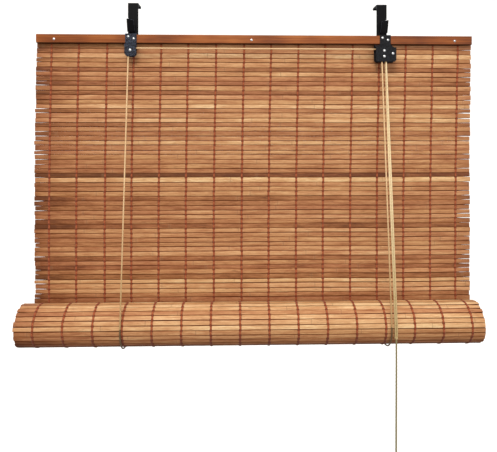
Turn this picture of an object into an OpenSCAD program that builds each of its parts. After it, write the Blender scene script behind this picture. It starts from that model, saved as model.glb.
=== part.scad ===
// Bamboo roll-up blind, part rolled. Hangs from two pressed steel hangers and is lifted by two cords.
// X runs along the rail, +Y points to the wall and +Z up. The origin lies halfway between the
// two screw holes of the hangers, on the top face of their flanges.

/* [Head rail] */
// Length of the head rail and of the slats
rail_w = 800; // [700:10:900]
// Height of the head rail
rail_h = 15.5; // [14:0.5:18]
// Thickness of the front lath of the rail
front_lath_t = 9; // [8:0.5:12]
// Thickness of the back lath of the rail
back_lath_t = 6; // [6:0.5:10]
// How far the rail's middle lies to the left of the middle between the hangers
rail_offset = 4; // [0:1:8]
// Distance of the outer rail nails from the rail's ends
nail_inset = 32; // [20:1:45]
// Radius of a nail's shank
nail_r = 1; // [0.8:0.1:1.2]

/* [Mat] */
// Height taken by one slat and the gap below it
slat_pitch = 8.5; // [7:0.5:10]
// Gap between two slats
slat_gap = 0.7; // [0.5:0.1:1]
// Thickness of a slat
slat_t = 1.8; // [1.5:0.1:2.2]
// Slats that hang between the rail and the middle of the roll
hanging_slats = 59; // [50:1:65]
// Distance between two warp threads
warp_pitch = 50; // [44:1:53]
// Number of warp threads
warp_count = 16; // [14:1:16]
// Width of a warp thread
warp_w = 1.6; // [1.2:0.1:2.2]
// How far a warp thread stands proud of the slats
warp_t = 0.5; // [0.3:0.1:0.7]
// How far the hanging threads lean to the left at the roll
mat_lean = 5; // [0:1:8]
// How far the slats have crept along the threads at the roll
slat_creep = 4; // [0:1:6]

/* [Roll] */
// Largest radius of the rolled mat
roll_r = 38.2; // [34:0.2:42]
// Radius of the innermost turn
core_r = 12; // [12:0.5:16]

/* [Hangers] */
// Distance between the two hangers
hanger_span = 465; // [420:5:500]
// Height of the hangers above the rail
hanger_rise = 62; // [55:1:80]
// Width of a hanger
hanger_w = 19; // [18:0.2:22]
// Thickness of the hangers' steel
hanger_t = 1.6; // [1.2:0.1:2]
// Depth of the flange that is screwed overhead
flange_d = 26; // [24:1:32]
// Radius of the screw hole in the flange
flange_hole_r = 2.5; // [2:0.1:3]
// Reach of the hook's tip in front of the hanger
hook_reach = 12; // [10:0.5:14]

/* [Cords] */
// Diameter of the cords
cord_d = 2.5; // [2:0.1:2.6]
// Radius of the path that a cord takes over a sheave
sheave_path_r = 3.9; // [3.7:0.1:4.2]
// Radius of the sheaves
sheave_r = 5.6; // [5.4:0.1:6]
// Radius of the rivets' shanks
rivet_r = 1.5; // [1.3:0.1:1.7]

/* [Pulley and cord lock] */
// Thickness of the pressed plates
plate_t = 1.2; // [1:0.1:1.4]
// Width of the pulley's plates
pulley_w = 20.5; // [18:0.5:24]
// Room between the pulley's two plates
pulley_gap = 6.4; // [6:0.1:7]
// Width of the cord lock
lock_w = 37.5; // [36:0.5:42]
// Room between the cord lock's two plates
lock_gap = 10.8; // [10.4:0.1:12]
// Depth of the sheaves below the top of the rail
sheave_drop = 29.9; // [28:0.1:33]
// Radius of the turned knob at the pull cord's end
knob_r = 9; // [8:0.5:12]
// Length of the turned knob
knob_h = 32; // [26:1:40]

/* [Hidden] */
$fn = 48;

// Small clearances
run_gap = 0.05;
seat_gap = 0.3;
end_gap = 0.25;
cut = 1;

// Places across the wall, from the hanger forwards
hanger_y = -flange_d / 2;
mat_back_y = hanger_y - back_lath_t;
mat_front_y = mat_back_y - slat_t;
rail_face_y = mat_front_y - front_lath_t;

// Heights
rail_top_z = -hanger_rise;
rail_low_z = rail_top_z - rail_h;
roll_z = rail_low_z - hanging_slats * slat_pitch;
roll_y = mat_back_y - roll_r;
rail_nail_z = rail_low_z + 6.5;

// Mat
slat_h = slat_pitch - slat_gap;
slat_edge = 0.4;
web_t = 0.8;
ragged = 2.5;
warp_span = (warp_count - 1) * warp_pitch;
rail_x = -rail_offset;
rail_nail_x = [rail_x - rail_w / 2 + nail_inset, rail_x - 9, rail_x + rail_w / 2 - nail_inset];
nail_head_r = 2.3;
nail_head_h = 1.1;
nail_deep = front_lath_t + slat_t + 4;
small_nail_deep = front_lath_t - 1;

// Turns of the roll
turn_pitch = slat_t + 2 * warp_t;
rolled_slats = floor(PI * (pow(roll_r, 2) - pow(core_r, 2)) / (turn_pitch * slat_pitch));
band_slats = floor(PI * (pow(roll_r, 2) - pow(roll_r - turn_pitch * 0.955, 2)) / (turn_pitch * slat_pitch));
notch = 0.5;
notch_half = slat_gap / 2;

// Pulley and lock, from the hanger span
cord_r = cord_d / 2;
pulley_x = -hanger_span / 2;
lock_x = hanger_span / 2 + 1.5;
lock_left_x = lock_x - 21;
lock_right_x = lock_left_x + lock_w;
lock_sheave_x = lock_x - 5.3;
pawl_x = lock_right_x - 6;
sheave_z = rail_top_z - sheave_drop;
roller_z = sheave_z - 10.3;
pawl_z = sheave_z - 5.1;
plate_front_y = rail_face_y - plate_t;
sheave_w = pulley_gap - 0.8;
lock_sheave_w = lock_gap - 0.8;
lane_back_y = plate_front_y - pulley_gap / 2;
lane_front_y = lane_back_y - cord_d - 0.9;
groove_r = cord_r + 0.15;
groove_flare = 0.7;
flare_from_r = sheave_path_r - 0.4;
pulley_low_z = sheave_z - 11.5;
lock_low_z = sheave_z - 20;
plate_top_z = rail_top_z + 1;
small_nail_dx = 5;
small_nail_z = [rail_top_z - 4.2, rail_top_z - 8.1];
roller_r = sheave_path_r - cord_r - 0.25;
rivet_head_r = 2.6;
rivet_head_h = 1.3;

// Lift cords
loop_r = roll_r + warp_t + seat_gap + cord_r;
left_cord_x = pulley_x - sheave_path_r;
right_cord_x = lock_sheave_x - sheave_path_r;
back_cord_y = roll_y + loop_r;
back_hole_deep = 8.5;

// Free pull cords: points picked along the route, in millimetres
pull_front_points = [
    [232.6, -37.6, -92], [232.6, -37.6, -98.5], [232.6, -39.9, -112], [232.8, -47.3, -170],
    [233, -54.6, -228], [233.2, -61.9, -286], [233.3, -69.1, -344], [233.3, -76.4, -402],
    [233.3, -83.7, -460], [233.3, -91, -518], [233.3, -97.6, -571]
];
pull_back_points = [
    [232.6, -34.2, -92], [232.6, -34.2, -98.5], [232.5, -36.6, -112], [231.6, -45, -170],
    [231, -53, -228], [230.5, -61.2, -286], [230.4, -69.1, -344], [230.4, -76.4, -402],
    [230.4, -83.7, -460], [230.4, -91, -518], [230.4, -97.6, -571]
];
lead_front_points = [[233.3, -97.6, -571.4], [233.3, -98.2, -579], [233.2, -98.5, -588.6]];
lead_back_points = [[230.4, -97.6, -571.4], [230.4, -98.2, -579], [230.5, -98.5, -588.6]];
tail_points = [
    [231.8, -98.5, -594.8], [231.9, -98.6, -640], [231.7, -98.6, -690], [231.5, -98.6, -740],
    [231.4, -98.6, -790], [231.4, -98.6, -828.4]
];
knot_at = [231.8, -98.5, -591.7];
knot_r = 3.1;
knob_at = [231.4, -98.6, -796];

// Hook of a hanger, the window behind it, which shows above the hook's outer corner, and the lip
// at the flange's back edge
hook_low_z = rail_top_z + 8;
hook_high_z = hook_low_z + 22;
hook_shoulder_z = hook_high_z - 2.4;
hook_foot_x = 3.9;
hook_shoulder_x = 3.2;
hook_tip_w = 2.5;
hook_shelf = 5.5;
window_foot_x = 1.4;
window_shoulder_z = hook_high_z - 3.8;
window_shoulder_x = 0.6;
window_notch_w = 4.4;
window_notch_h = 4;
flange_lip = 4;

// Hanger screws
screw_r = 1.7;
screw_z = rail_top_z - 3.8;
screw_deep = back_lath_t - 1;
screw_head_r = 3.2;
screw_dx = 5;

// Slats

function creep(i) = (mat_lean + slat_creep) * i / hanging_slats;
function slat_left(i) = rail_x - rail_w / 2 - creep(i) + ragged * (0.5 + 0.5 * sin(i * 77 + 20));
function slat_right(i) = rail_x + rail_w / 2 - creep(i) - ragged * (0.5 + 0.5 * sin(i * 131 + 60));
function warp_x(k) = rail_x - warp_span / 2 + k * warp_pitch;

// Turns: s is the length of mat already rolled, counted from the outside

function turn_r(s) = sqrt(pow(roll_r, 2) - turn_pitch * s / PI);
function turn_angle(s) = 360 * (roll_r - turn_r(s)) / turn_pitch;
function on_turn(s, out) =
    let(r = turn_r(s) + out, a = turn_angle(s))
    [roll_y + r * cos(a), roll_z - r * sin(a)];

// The angle at which a cord from a point above touches the loop under the roll
function touch_angle(y, z) =
    let(dy = y - roll_y, dz = z - roll_z, d = sqrt(dy * dy + dz * dz))
    atan2(dz, dy) + acos(loop_r / d);

// A tube swept along a list of points

function unit(v) = v / norm(v);
function along(p, i) = unit(p[min(i + 1, len(p) - 1)] - p[max(i - 1, 0)]);
function ring(p, i, r, sides) =
    let(t = along(p, i), u = unit(cross(t, [0, 1, 0])), v = cross(t, u))
    [for (k = [0:sides - 1]) p[i] + r * (cos(360 * k / sides) * u + sin(360 * k / sides) * v)];

module tube(points, r, sides = 8) {
    rings = len(points);
    corners = [for (i = [0:rings - 1]) each ring(points, i, r, sides)];
    walls = [
        for (i = [0:rings - 2], k = [0:sides - 1])
            let(a = i * sides + k, b = i * sides + (k + 1) % sides)
            each [[a, b, b + sides], [a, b + sides, a + sides]]
    ];
    start = [for (k = [sides - 1:-1:0]) k];
    end = [for (k = [0:sides - 1]) (rings - 1) * sides + k];
    polyhedron(points = corners, faces = concat([start], walls, [end]), convexity = 4);
}

// A cylinder whose axis runs forwards, from y1 (front) to y2 (back)
module pin_y(x, z, r, y1, y2) {
    translate([x, y2, z]) rotate([90, 0, 0]) cylinder(r = r, h = y2 - y1);
}

// A flat outline in X and Z, from y1 (front) to y2 (back)
module plate_y(y1, y2) {
    translate([0, y2, 0]) rotate([90, 0, 0]) linear_extrude(height = y2 - y1) children();
}

// An outline in Y and Z, drawn out from x1 to x2
module bar_x(x1, x2) {
    translate([x1, 0, 0]) rotate([90, 0, 90]) linear_extrude(height = x2 - x1) children();
}

// A nail or rivet head: a low dome that faces forwards
module dome(x, z, r, h, y) {
    ball = (r * r + h * h) / (2 * h);
    translate([x, y, z]) rotate([90, 0, 0])
        rotate_extrude() intersection() {
            translate([0, h - ball]) circle(r = ball, $fn = 96);
            square([r, h]);
        }
}

module nail(x, z, y_face, deep) {
    dome(x, z, nail_head_r, nail_head_h, y_face);
    pin_y(x, z, nail_r, y_face, y_face + deep);
}

module nail_hole(x, z, y1, y2) {
    pin_y(x, z, nail_r + run_gap, y1, y2);
}

// Hangers: one pressed strip each, with a flange overhead and a hook pressed out of the outer side

module hanger() {
    half = hanger_w / 2;
    difference() {
        union() {
            plate_y(hanger_y, hanger_y + hanger_t)
                translate([-half, rail_low_z]) square([hanger_w, -rail_low_z]);
            translate([-half, hanger_y, -hanger_t]) cube([hanger_w, flange_d, hanger_t]);
            translate([-half, hanger_y + flange_d - hanger_t, -flange_lip])
                cube([hanger_w, hanger_t, flange_lip]);
        }
        // the window that the hook was pressed out of
        plate_y(hanger_y - cut, hanger_y + hanger_t + cut) polygon([
            [-half - cut, hook_low_z + hanger_t], [window_foot_x, hook_low_z + hanger_t],
            [window_shoulder_x, window_shoulder_z], [window_notch_w - half, window_shoulder_z],
            [window_notch_w - 1 - half, hook_high_z],
            [window_notch_w - 2.2 - half, hook_high_z + window_notch_h - 1.6],
            [-half, hook_high_z + window_notch_h], [-half - cut, hook_high_z + window_notch_h]
        ]);
        translate([0, 0, -hanger_t - cut]) cylinder(r = flange_hole_r, h = hanger_t + 2 * cut);
        for (x = [-screw_dx, screw_dx])
            pin_y(x, screw_z, screw_r + run_gap, hanger_y - cut, hanger_y + hanger_t + cut);
    }
    // the hook's shelf and tongue, bent from one strip
    intersection() {
        bar_x(-half, hook_foot_x) polygon([
            [hanger_y + hanger_t, hook_low_z], [hanger_y - hook_shelf, hook_low_z],
            [hanger_y - hook_reach, hook_high_z], [hanger_y - hook_reach + hanger_t, hook_high_z],
            [hanger_y - hook_shelf + hanger_t, hook_low_z + hanger_t],
            [hanger_y + hanger_t, hook_low_z + hanger_t]
        ]);
        plate_y(hanger_y - hook_reach - cut, hanger_y + hanger_t + cut) polygon([
            [-half, hook_low_z - cut], [hook_foot_x, hook_low_z - cut],
            [hook_foot_x, hook_low_z + hanger_t], [hook_shoulder_x, hook_shoulder_z],
            [hook_tip_w - half, hook_high_z], [-half, hook_high_z + cut]
        ]);
    }
}

module hanger_left() {
    color("#1c1d22") translate([-hanger_span / 2, 0, 0]) hanger();
}

module hanger_right() {
    color("#1c1d22") translate([hanger_span / 2, 0, 0]) mirror([1, 0, 0]) hanger();
}

module hanger_screws() {
    color("silver") for (side = [-1, 1], dx = [-screw_dx, screw_dx]) {
        x = side * hanger_span / 2 + dx;
        pin_y(x, screw_z, screw_r, hanger_y - screw_deep, hanger_y + hanger_t);
        translate([x, hanger_y + hanger_t, screw_z]) rotate([-90, 0, 0])
            cylinder(r1 = screw_head_r, r2 = 1.8, h = 1.6);
    }
}

// Head rail: two laths that clamp the mat's top slat

module lath_section(y1, y2, edge = 0.8) {
    polygon([
        [y1, rail_low_z + edge], [y1 + edge, rail_low_z], [y2 - edge, rail_low_z],
        [y2, rail_low_z + edge], [y2, rail_top_z - edge], [y2 - edge, rail_top_z],
        [y1 + edge, rail_top_z], [y1, rail_top_z - edge]
    ]);
}

module front_lath() {
    color("#a85a2c") difference() {
        bar_x(rail_x - rail_w / 2, rail_x + rail_w / 2) lath_section(rail_face_y, mat_front_y);
        for (x = rail_nail_x) nail_hole(x, rail_nail_z, rail_face_y - cut, mat_front_y + cut);
        for (x = [pulley_x, lock_x], n = [0, 1])
            nail_hole(x + (2 * n - 1) * small_nail_dx, small_nail_z[n],
                rail_face_y - cut, plate_front_y + small_nail_deep + 0.5);
    }
}

module back_lath() {
    color("#9a5228") difference() {
        bar_x(rail_x - rail_w / 2, rail_x + rail_w / 2) lath_section(mat_back_y, hanger_y);
        for (x = rail_nail_x)
            nail_hole(x, rail_nail_z, mat_back_y - cut, rail_face_y + nail_deep + 0.5);
        for (side = [-1, 1], dx = [-screw_dx, screw_dx])
            pin_y(side * hanger_span / 2 + dx, screw_z, screw_r + run_gap,
                hanger_y - screw_deep - 0.5, hanger_y + cut);
        // each lift cord ends in a blind hole from below
        for (x = [left_cord_x, right_cord_x])
            translate([x, back_cord_y, rail_low_z - cut])
                cylinder(r = cord_r + 0.1, h = back_hole_deep + cut);
    }
}

module rail_nails() {
    color("white") for (x = rail_nail_x) nail(x, rail_nail_z, rail_face_y, nail_deep);
}

// Hanging mat: one slat to each pitch, joined by a thin web between the outer warp threads

module slat_section(top_z) {
    low_z = top_z - slat_h;
    polygon([
        [mat_back_y, top_z - slat_edge], [mat_back_y - slat_edge, top_z],
        [mat_front_y + slat_edge, top_z], [mat_front_y, top_z - slat_edge],
        [mat_front_y, low_z + slat_edge], [mat_front_y + slat_edge, low_z],
        [mat_back_y - slat_edge, low_z], [mat_back_y, low_z + slat_edge]
    ]);
}

module hanging_mat() {
    web_y = (mat_front_y + mat_back_y) / 2;
    color("#b5743f") difference() {
        union() {
            for (i = [-1:hanging_slats - 1])
                bar_x(slat_left(i), slat_right(i))
                    slat_section(rail_low_z - i * slat_pitch - slat_gap / 2);
            plate_y(web_y - web_t / 2, web_y + web_t / 2) polygon([
                [warp_x(0), rail_low_z + slat_pitch / 2],
                [warp_x(warp_count - 1), rail_low_z + slat_pitch / 2],
                [warp_x(warp_count - 1) - mat_lean, roll_z + slat_pitch / 2],
                [warp_x(0) - mat_lean, roll_z + slat_pitch / 2]
            ]);
            // the last slat reaches the roll, where the turns begin
            bar_x(warp_x(0), warp_x(warp_count - 1))
                translate([mat_front_y, roll_z]) square([slat_t, slat_pitch / 2]);
        }
        for (x = rail_nail_x) nail_hole(x, rail_nail_z, mat_front_y - cut, mat_back_y + cut);
    }
}

module mat_warps() {
    top_z = rail_low_z - 0.2;
    color("#7a3f22") for (k = [0:warp_count - 1], y = [mat_front_y - warp_t, mat_back_y])
        plate_y(y, y + warp_t) polygon([
            [warp_x(k) - warp_w / 2, top_z], [warp_x(k) + warp_w / 2, top_z],
            [warp_x(k) + warp_w / 2 - mat_lean, roll_z], [warp_x(k) - warp_w / 2 - mat_lean, roll_z]
        ]);
}

// Pulley on the left

module pulley_outline() {
    half = pulley_w / 2;
    polygon([
        [pulley_x - half, plate_top_z], [pulley_x + half, plate_top_z],
        [pulley_x + half, pulley_low_z + 5], [pulley_x + half - 2.5, pulley_low_z + 1.5],
        [pulley_x + half - 6, pulley_low_z], [pulley_x - half + 6, pulley_low_z],
        [pulley_x - half + 2.5, pulley_low_z + 1.5], [pulley_x - half, pulley_low_z + 5]
    ]);
}

module pulley_holes() {
    y1 = rail_face_y - 30;
    for (n = [0, 1]) nail_hole(pulley_x + (2 * n - 1) * small_nail_dx, small_nail_z[n], y1, hanger_y);
    pin_y(pulley_x, sheave_z, rivet_r + run_gap, y1, hanger_y);
}

module pulley_back_plate() {
    color("#2c3442") difference() {
        plate_y(plate_front_y, rail_face_y) pulley_outline();
        pulley_holes();
    }
}

module pulley_front_plate() {
    tab_y = plate_front_y;
    cheek_y = plate_front_y - pulley_gap;
    fold_z = rail_top_z - 17;
    color("#323b4a") difference() {
        intersection() {
            bar_x(pulley_x - pulley_w / 2, pulley_x + pulley_w / 2) polygon([
                [tab_y, plate_top_z], [tab_y, fold_z], [cheek_y, fold_z - 3.6],
                [cheek_y, pulley_low_z], [cheek_y - plate_t, pulley_low_z],
                [cheek_y - plate_t, fold_z - 3], [tab_y - plate_t, fold_z + 0.6],
                [tab_y - plate_t, plate_top_z]
            ]);
            plate_y(cheek_y - plate_t - cut, rail_face_y + cut) pulley_outline();
        }
        pulley_holes();
    }
}

module pulley_nails() {
    color("white") for (n = [0, 1])
        nail(pulley_x + (2 * n - 1) * small_nail_dx, small_nail_z[n],
            plate_front_y - plate_t, small_nail_deep);
}

module pulley_rivet() {
    front_y = plate_front_y - pulley_gap - plate_t;
    color("white") {
        dome(pulley_x, sheave_z, rivet_head_r, rivet_head_h, front_y);
        pin_y(pulley_x, sheave_z, rivet_r, front_y, rail_face_y);
        pin_y(pulley_x, sheave_z, rivet_head_r, rail_face_y, rail_face_y + 1);
    }
}

// A sheave with one groove for each lane. Its outer flanks flare, for a cord that leaves at a slant.
module sheave(x, y_front, width, lanes) {
    places = [for (lane = lanes) y_front + width - lane];
    translate([x, y_front + width, sheave_z]) rotate([90, 0, 0]) rotate_extrude() difference() {
        translate([rivet_r + run_gap, 0]) square([sheave_r - rivet_r - run_gap, width]);
        for (at = places) {
            translate([sheave_path_r, at]) circle(r = groove_r);
            translate([sheave_path_r, at - groove_r]) square([sheave_r, 2 * groove_r]);
        }
        for (flank = [[max(places), 1], [min(places), -1]]) polygon([
            [flare_from_r, flank[0]], [flare_from_r, flank[0] + flank[1] * groove_r],
            [sheave_r + 0.1, flank[0] + flank[1] * (groove_r + groove_flare)],
            [sheave_r + 0.1, flank[0]]
        ]);
    }
}

module pulley_sheave() {
    color("#d9d4c4") sheave(pulley_x, lane_back_y - sheave_w / 2, sheave_w, [lane_back_y]);
}

// Cord lock on the right

module lock_holes() {
    y1 = rail_face_y - 30;
    for (n = [0, 1]) nail_hole(lock_x + (2 * n - 1) * small_nail_dx, small_nail_z[n], y1, hanger_y);
    pin_y(lock_sheave_x, sheave_z, rivet_r + run_gap, y1, hanger_y);
    pin_y(lock_sheave_x, roller_z, rivet_r + run_gap, y1, hanger_y);
    pin_y(pawl_x, pawl_z, rivet_r + run_gap, y1, hanger_y);
}

module lock_back_plate() {
    tab = 10;
    shoulder_z = rail_top_z - 16.9;
    color("#2c3442") difference() {
        plate_y(plate_front_y, rail_face_y) polygon([
            [lock_x - tab, plate_top_z], [lock_x + tab, plate_top_z], [lock_x + tab, shoulder_z],
            [lock_right_x, shoulder_z - 5], [lock_right_x, lock_low_z + 3],
            [lock_right_x - 3, lock_low_z], [lock_left_x + 3, lock_low_z],
            [lock_left_x, lock_low_z + 3], [lock_left_x, shoulder_z], [lock_x - tab, shoulder_z]
        ]);
        lock_holes();
    }
}

module lock_front_plate() {
    inner_y = plate_front_y - lock_gap;
    lip_z = rail_top_z - 16.9;
    face_z = rail_top_z - 23.3;
    step_x = lock_left_x + 0.49 * lock_w;
    color("#323b4a") difference() {
        intersection() {
            union() {
                bar_x(lock_left_x, step_x) polygon([
                    [plate_front_y, lip_z], [plate_front_y, lip_z - 1.4], [inner_y, face_z - 0.7],
                    [inner_y, lock_low_z], [inner_y - plate_t, lock_low_z],
                    [inner_y - plate_t, face_z]
                ]);
                plate_y(inner_y - plate_t, inner_y)
                    translate([lock_left_x, lock_low_z]) square([lock_w, face_z - 0.7 - lock_low_z]);
            }
            plate_y(inner_y - plate_t - cut, rail_face_y) polygon([
                [lock_left_x, lip_z + cut], [lock_right_x, lip_z + cut],
                [lock_right_x, lock_low_z + 3], [lock_right_x - 3, lock_low_z],
                [lock_left_x + 3, lock_low_z], [lock_left_x, lock_low_z + 3]
            ]);
        }
        lock_holes();
    }
}

module lock_nails() {
    color("white") for (n = [0, 1])
        nail(lock_x + (2 * n - 1) * small_nail_dx, small_nail_z[n],
            plate_front_y, small_nail_deep);
}

module lock_rivets() {
    front_y = plate_front_y - lock_gap - plate_t;
    color("white") for (at = [[lock_sheave_x, sheave_z], [lock_sheave_x, roller_z], [pawl_x, pawl_z]]) {
        dome(at[0], at[1], rivet_head_r, rivet_head_h, front_y);
        pin_y(at[0], at[1], rivet_r, front_y, rail_face_y);
        pin_y(at[0], at[1], rivet_head_r, rail_face_y, rail_face_y + 1);
    }
}

module lock_sheave() {
    color("#d9d4c4")
        sheave(lock_sheave_x, plate_front_y - lock_gap + 0.4, lock_sheave_w, [lane_back_y, lane_front_y]);
}

module lock_roller() {
    y1 = plate_front_y - lock_gap + 0.4;
    color("#b9b4a6") difference() {
        pin_y(lock_sheave_x, roller_z, roller_r, y1, y1 + lock_sheave_w);
        pin_y(lock_sheave_x, roller_z, rivet_r + run_gap, y1 - cut, y1 + lock_sheave_w + cut);
    }
}

module lock_pawl() {
    y1 = plate_front_y - lock_gap + 0.4;
    nose_x = lock_sheave_x + sheave_path_r + cord_r + 0.25 - pawl_x;
    color("#b9b4a6") difference() {
        union() {
            pin_y(pawl_x, pawl_z, 4, y1, y1 + lock_sheave_w);
            translate([pawl_x, 0, pawl_z]) plate_y(y1, y1 + lock_sheave_w)
                polygon([[0, 3.6], [nose_x + 1, -2.6], [nose_x, -4.2], [nose_x + 1.4, -6.2], [0, -4]]);
        }
        pin_y(pawl_x, pawl_z, rivet_r + run_gap, y1 - cut, y1 + lock_sheave_w + cut);
    }
}

// Lift cords

// A bent stretch of cord over a sheave: from the left side by a turn towards the right
module cord_bend(x, y, from_angle, turn) {
    translate([x, y, sheave_z]) rotate([90, 0, 0]) rotate([0, 0, from_angle])
        rotate_extrude(angle = turn) translate([sheave_path_r, 0]) circle(r = cord_r);
}

module transfer_cord() {
    color("#e3d6a4") {
        cord_bend(pulley_x, lane_back_y, 90, 90);
        translate([pulley_x, lane_back_y, sheave_z + sheave_path_r]) rotate([0, 90, 0])
            cylinder(r = cord_r, h = lock_sheave_x - pulley_x);
        cord_bend(lock_sheave_x, lane_back_y, 0, 90);
    }
}

module lock_cord_bend() {
    color("#e3d6a4") cord_bend(lock_sheave_x, lane_front_y, 0, 180);
}

module front_cord(x, y) {
    a = touch_angle(y, sheave_z);
    foot = [x, roll_y + loop_r * cos(a), roll_z + loop_r * sin(a)];
    reach = norm(foot - [x, y, sheave_z]) - end_gap;
    tilt = atan2(y - foot[1], sheave_z - foot[2]);
    translate(foot) rotate([-tilt, 0, 0]) cylinder(r = cord_r, h = reach);
}

module left_front_cord() {
    color("#e3d6a4") front_cord(left_cord_x, lane_back_y);
}

module right_front_cord() {
    color("#e3d6a4") front_cord(right_cord_x, lane_front_y);
}

module back_cord(x) {
    top_z = rail_low_z + back_hole_deep - 0.3;
    translate([x, back_cord_y, roll_z]) cylinder(r = cord_r, h = top_z - roll_z);
}

module left_back_cord() {
    color("#e3d6a4") back_cord(left_cord_x);
}

module right_back_cord() {
    color("#e3d6a4") back_cord(right_cord_x);
}

// The loop that carries the roll, from the front run round to the back run
module cord_loop(x, y) {
    start = touch_angle(y, sheave_z);
    translate([x, roll_y, roll_z]) rotate([90, 0, 90]) rotate([0, 0, start])
        rotate_extrude(angle = 360 - start, $fn = 96) translate([loop_r, 0]) circle(r = cord_r, $fn = 32);
}

module left_cord_loop() {
    color("#e3d6a4") cord_loop(left_cord_x, lane_back_y);
}

module right_cord_loop() {
    color("#e3d6a4") cord_loop(right_cord_x, lane_front_y);
}

// Roll: one spiral of slats, wound towards the front

module rolled_mat() {
    last = rolled_slats;
    outer = [
        for (i = [0:last]) each [
            if (i > 0) on_turn(i * slat_pitch - notch_half, 0),
            if (i > 0 && i < last) on_turn(i * slat_pitch, -notch),
            if (i < last) on_turn(i * slat_pitch + (i > 0 ? notch_half : 0), 0)
        ]
    ];
    inner = [for (i = [last:-1:0]) on_turn(i * slat_pitch - (i == last ? notch_half : 0), -slat_t)];
    shift = rail_x - mat_lean - slat_creep;
    color("#bb7b45") bar_x(shift - rail_w / 2, shift + rail_w / 2) polygon(concat(outer, inner));
}

module roll_warps() {
    inner = [
        for (i = [0:band_slats - 1]) each [
            on_turn(i * slat_pitch + (i > 0 ? notch_half : 0), 0),
            on_turn((i + 1) * slat_pitch - notch_half, 0)
        ]
    ];
    outer = [
        for (i = [band_slats - 1:-1:0]) each [
            on_turn((i + 1) * slat_pitch - notch_half, warp_t),
            on_turn(i * slat_pitch + (i > 0 ? notch_half : 0), warp_t)
        ]
    ];
    color("#7a3f22") for (k = [0:warp_count - 1])
        bar_x(warp_x(k) - mat_lean - warp_w / 2, warp_x(k) - mat_lean + warp_w / 2)
            polygon(concat(inner, outer));
}

module core_rod() {
    tightest = (turn_r(rolled_slats * slat_pitch) - slat_t)
        * cos(90 * slat_pitch / (PI * turn_r(rolled_slats * slat_pitch)));
    shift = rail_x - mat_lean - slat_creep;
    color("#9a5228") translate([shift - rail_w / 2, roll_y, roll_z]) rotate([0, 90, 0])
        cylinder(r = tightest - 0.25, h = rail_w);
}

// Free pull cords

module pull_cord_front() {
    color("#e3d6a4") tube(pull_front_points, cord_r);
}

module pull_cord_back() {
    color("#e3d6a4") tube(pull_back_points, cord_r);
}

module pull_leads() {
    color("#e3d6a4") {
        tube(lead_front_points, cord_r);
        tube(lead_back_points, cord_r);
    }
}

module cord_knots() {
    color("#e3d6a4") {
        translate(knot_at) sphere(r = knot_r);
        translate(knob_at + [0, 0, -knob_h - knot_r]) difference() {
            sphere(r = knot_r);
            cylinder(r = cord_r + run_gap, h = knot_r + cut);
        }
    }
}

module pull_tail() {
    color("#e3d6a4") tube(tail_points, cord_r);
}

module pull_knob() {
    neck = 3.6;
    color("#a85a2c") translate(knob_at + [0, 0, -knob_h]) rotate_extrude() difference() {
        polygon([
            [0, 0], [5, 0], [7.4, 1.6], [knob_r, 6], [knob_r, 13], [knob_r - 1.6, 19],
            [neck + 1.6, knob_h - 7], [neck, knob_h - 4], [neck + 1, knob_h - 1.4], [neck, knob_h],
            [0, knob_h]
        ]);
        translate([0, -cut]) square([cord_r + 0.15, knob_h + 2 * cut]);
    }
}

hanger_left();
hanger_right();
hanger_screws();
front_lath();
back_lath();
rail_nails();
hanging_mat();
mat_warps();
pulley_back_plate();
pulley_front_plate();
pulley_nails();
pulley_rivet();
pulley_sheave();
lock_back_plate();
lock_front_plate();
lock_nails();
lock_rivets();
lock_sheave();
lock_roller();
lock_pawl();
transfer_cord();
lock_cord_bend();
left_front_cord();
right_front_cord();
left_back_cord();
right_back_cord();
left_cord_loop();
right_cord_loop();
rolled_mat();
roll_warps();
core_rod();
pull_cord_front();
pull_cord_back();
pull_leads();
cord_knots();
pull_tail();
pull_knob();
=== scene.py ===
# %% [markdown]
# # Bamboo roll-up blind
# The blind hangs from two pressed steel hangers. A head rail of two stained laths clamps a mat of
# flat bamboo slats, and two lift cords hold the rolled lower part in loops. The mat, threads, cords
# and knob are built here, because their look is in small uneven shapes. The steel pieces keep their
# solids and get a finish.

# %% Frame, sizes and colours
import math
import random
import bpy
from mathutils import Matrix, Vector, noise


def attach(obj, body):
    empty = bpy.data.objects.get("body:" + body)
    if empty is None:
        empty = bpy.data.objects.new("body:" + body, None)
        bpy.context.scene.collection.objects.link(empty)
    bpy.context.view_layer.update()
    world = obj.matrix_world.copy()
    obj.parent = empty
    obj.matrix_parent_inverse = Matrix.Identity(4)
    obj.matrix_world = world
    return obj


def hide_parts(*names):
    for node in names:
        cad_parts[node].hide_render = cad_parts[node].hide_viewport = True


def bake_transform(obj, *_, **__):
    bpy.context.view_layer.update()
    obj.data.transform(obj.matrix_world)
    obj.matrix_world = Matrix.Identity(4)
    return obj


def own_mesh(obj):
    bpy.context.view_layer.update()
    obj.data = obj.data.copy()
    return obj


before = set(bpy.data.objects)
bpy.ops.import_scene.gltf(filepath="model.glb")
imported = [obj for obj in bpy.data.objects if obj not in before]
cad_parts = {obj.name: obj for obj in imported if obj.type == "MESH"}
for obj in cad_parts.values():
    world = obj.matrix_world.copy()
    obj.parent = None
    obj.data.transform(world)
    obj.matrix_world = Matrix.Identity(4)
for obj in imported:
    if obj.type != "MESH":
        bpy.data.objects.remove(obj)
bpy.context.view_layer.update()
mm = 0.001

# Sizes of the part, in millimetres. Rail, mat and slats:
rail_x, rail_w, rail_low_z = -4.0, 800.0, -77.5
mat_back_y, mat_front_y = -19.0, -20.8
slat_pitch, slat_t = 8.5, 1.8
hanging_slats, rolled_slats, outer_slats = 59, 173, 27
warp_pitch, warp_count = 50.0, 16
# how far the mat leans to the left down to the roll, and how far the roll's slats crept beyond that
mat_lean, slat_creep = 5.0, 4.0
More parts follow.
